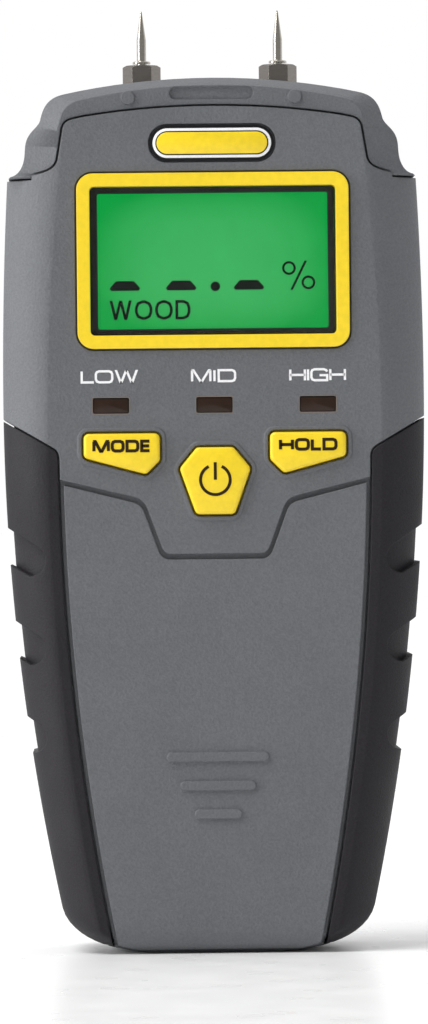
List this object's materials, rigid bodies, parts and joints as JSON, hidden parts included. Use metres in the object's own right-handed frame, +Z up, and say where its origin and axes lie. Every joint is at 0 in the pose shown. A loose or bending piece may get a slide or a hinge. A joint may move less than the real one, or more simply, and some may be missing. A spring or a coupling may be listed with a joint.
{
  "type": "moisture meter",
  "caption": "Hand-held pin moisture meter with a lit display, push buttons, rubber side grips and a sliding battery door.",
  "frame": {"origin": "centre of the footprint, on the surface that the base stands on", "axes": "+Z up towards the pins, the display faces -Y, +X to the right of the display"},
  "size_m": [0.07, 0.03, 0.157],
  "materials": {
    "casing": "fine moulded grain",
    "grip": "moulded, matt",
    "yellow": "semi-gloss",
    "window": "clear, polished",
    "panel": "lit from behind",
    "dark": "satin",
    "white": "smooth",
    "smoked": "tinted, polished",
    "steel": "nickel plated",
    "brass": "turned",
    "board": "solder mask",
    "battery": "satin",
    "red_sheath": "smooth",
    "black_sheath": "smooth",
    "foam": "open cell foam"
  },
  "bodies": {
    "casing": {"front_shell": "casing", "rear_shell": "casing", "pin_head": "casing", "left_grip": "grip", "right_grip": "grip", "display_bezel": "yellow", "badge_plate": "yellow", "display_window": "window", "lcd_panel": "panel", "display_gasket": "dark", "controller_chip": "dark", "buzzer": "dark", "battery_snap": "dark", "mode_switch": "dark", "power_switch": "dark", "hold_switch": "dark", "rear_label": "dark", "light_guide": "white", "low_lamp": "white", "mid_lamp": "white", "high_lamp": "white", "low_window": "smoked", "mid_window": "smoked", "high_window": "smoked", "left_pin": "steel", "right_pin": "steel", "left_pin_nut": "steel", "right_pin_nut": "steel", "case_screw_1": "steel", "case_screw_2": "steel", "case_screw_3": "steel", "case_screw_4": "steel", "board_screw_1": "steel", "board_screw_2": "steel", "board_screw_3": "steel", "board_screw_4": "steel", "left_pin_socket": "brass", "right_pin_socket": "brass", "main_board": "board", "battery": "battery", "red_lead": "red_sheath", "left_pin_lead": "red_sheath", "right_pin_lead": "red_sheath", "black_lead": "black_sheath", "contact_strip": "black_sheath"},
    "battery_door": {"battery_door": "casing", "door_foam_pad": "foam"},
    "mode_key": {"mode_button": "yellow", "mode_plunger": "dark"},
    "power_key": {"power_button": "yellow", "power_plunger": "dark"},
    "hold_key": {"hold_button": "yellow", "hold_plunger": "dark"}
  },
  "joints": [
    {"name": "door_slide", "type": "slide", "parent": "casing", "child": "battery_door", "axis": [0, 0, -1], "range_m": [0, 0.0035]},
    {"name": "mode_press", "type": "slide", "parent": "casing", "child": "mode_key", "axis": [0, 1, 0], "range_m": [0, 0.0008], "stiffness_N_per_m": 1500},
    {"name": "power_press", "type": "slide", "parent": "casing", "child": "power_key", "axis": [0, 1, 0], "range_m": [0, 0.0008], "stiffness_N_per_m": 1500},
    {"name": "hold_press", "type": "slide", "parent": "casing", "child": "hold_key", "axis": [0, 1, 0], "range_m": [0, 0.0008], "stiffness_N_per_m": 1500}
  ]
}
